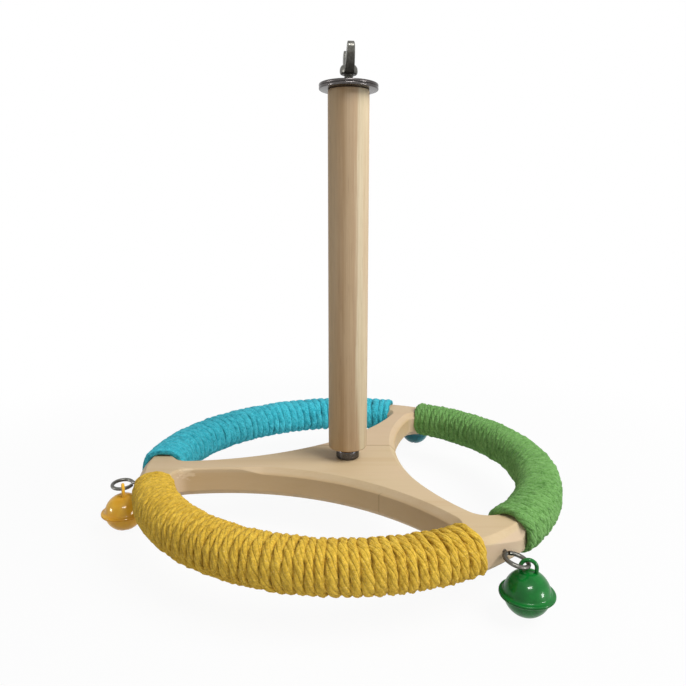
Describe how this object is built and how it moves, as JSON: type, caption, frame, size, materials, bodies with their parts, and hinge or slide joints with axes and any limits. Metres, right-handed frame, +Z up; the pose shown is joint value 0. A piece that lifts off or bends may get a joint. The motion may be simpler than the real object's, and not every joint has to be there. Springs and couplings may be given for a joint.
{
  "type": "rotating bird perch wheel",
  "caption": "Wooden perch wheel wound with coloured rope, hung with bells, turning freely under a round post that is clamped to a cage roof by a bolt and wing nut.",
  "frame": {"origin": "on the hanger bolt's axis, on top of the lower clamp washer, where a cage bar sits", "axes": "+Z up along the bolt and the post; the first spoke, with the blue bell, points 66.5 degrees from +X towards +Y"},
  "size_m": [0.2617, 0.2586, 0.2645],
  "materials": {
    "post_wood": "smooth sanded, unvarnished",
    "wheel_wood": "smooth sanded, unvarnished",
    "zinc_steel": "zinc plated",
    "rope_blue": "dyed twisted rope",
    "rope_yellow": "dyed twisted rope",
    "rope_green": "dyed twisted rope",
    "bell_blue": "gloss paint",
    "bell_yellow": "gloss paint",
    "bell_green": "gloss paint",
    "pellet_steel": "plain steel"
  },
  "bodies": {
    "post": {"post": "post_wood", "hanger_bolt": "zinc_steel", "lower_washer": "zinc_steel", "pivot_collar": "zinc_steel", "pivot_sleeve": "zinc_steel", "pivot_screw": "zinc_steel", "thrust_washer": "zinc_steel"},
    "clamp": {"upper_washer": "zinc_steel"},
    "nut": {"wing_nut": "zinc_steel"},
    "wheel": {"wheel_frame": "wheel_wood", "rope_blue": "rope_blue", "rope_yellow": "rope_yellow", "rope_green": "rope_green", "eye_blue": "zinc_steel", "eye_yellow": "zinc_steel", "eye_green": "zinc_steel"},
    "bell_blue": {"bell_cap_blue": "bell_blue", "bell_cup_blue": "bell_blue", "bell_loop_blue": "bell_blue"},
    "pellet_blue": {"bell_pellet_blue": "pellet_steel"},
    "bell_yellow": {"bell_cap_yellow": "bell_yellow", "bell_cup_yellow": "bell_yellow", "bell_loop_yellow": "bell_yellow"},
    "pellet_yellow": {"bell_pellet_yellow": "pellet_steel"},
    "bell_green": {"bell_cap_green": "bell_green", "bell_cup_green": "bell_green", "bell_loop_green": "bell_green"},
    "pellet_green": {"bell_pellet_green": "pellet_steel"}
  },
  "joints": [
    {"name": "wheel_spin", "type": "hinge", "parent": "post", "child": "wheel", "pos_m": [0, 0, -0.2169], "axis": [0, 0, 1], "continuous": true},
    {"name": "clamp_lift", "type": "slide", "parent": "post", "child": "clamp", "axis": [0, 0, 1], "range_m": [0, 0.004]},
    {"name": "nut_spin", "type": "hinge", "parent": "clamp", "child": "nut", "pos_m": [0, 0, 0.0062], "axis": [0, 0, 1], "range_deg": [0, 1800]},
    {"name": "bell_blue_swing", "type": "hinge", "parent": "wheel", "child": "bell_blue", "pos_m": [0.05373, 0.12357, -0.21976], "axis": [-0.9171, 0.3987, 0], "range_deg": [-60, 25]},
    {"name": "pellet_blue_roll", "type": "hinge", "parent": "bell_blue", "child": "pellet_blue", "pos_m": [0.05373, 0.12357, -0.23336], "axis": [-0.9171, 0.3987, 0], "range_deg": [-60, 60]},
    {"name": "bell_yellow_swing", "type": "hinge", "parent": "wheel", "child": "bell_yellow", "pos_m": [-0.12665, -0.01976, -0.21956], "axis": [0.9305, 0.3655, 0.0226], "range_deg": [-12, 22]},
    {"name": "pellet_yellow_roll", "type": "hinge", "parent": "bell_yellow", "child": "pellet_yellow", "pos_m": [-0.12665, -0.01976, -0.23316], "axis": [0.9304, 0.3665, 0], "range_deg": [-60, 60]},
    {"name": "bell_green_swing", "type": "hinge", "parent": "wheel", "child": "bell_green", "pos_m": [0.07988, -0.10213, -0.21901], "axis": [0.2093, 0.9768, -0.0452], "range_deg": [-60, 20]},
    {"name": "pellet_green_roll", "type": "hinge", "parent": "bell_green", "child": "pellet_green", "pos_m": [0.07988, -0.10213, -0.23261], "axis": [0.2334, 0.9724, 0], "range_deg": [-60, 60]}
  ],
  "couplings": [
    {"joint": "clamp_lift", "follows": "nut_spin", "m_per_rad": 0.00012732}
  ]
}
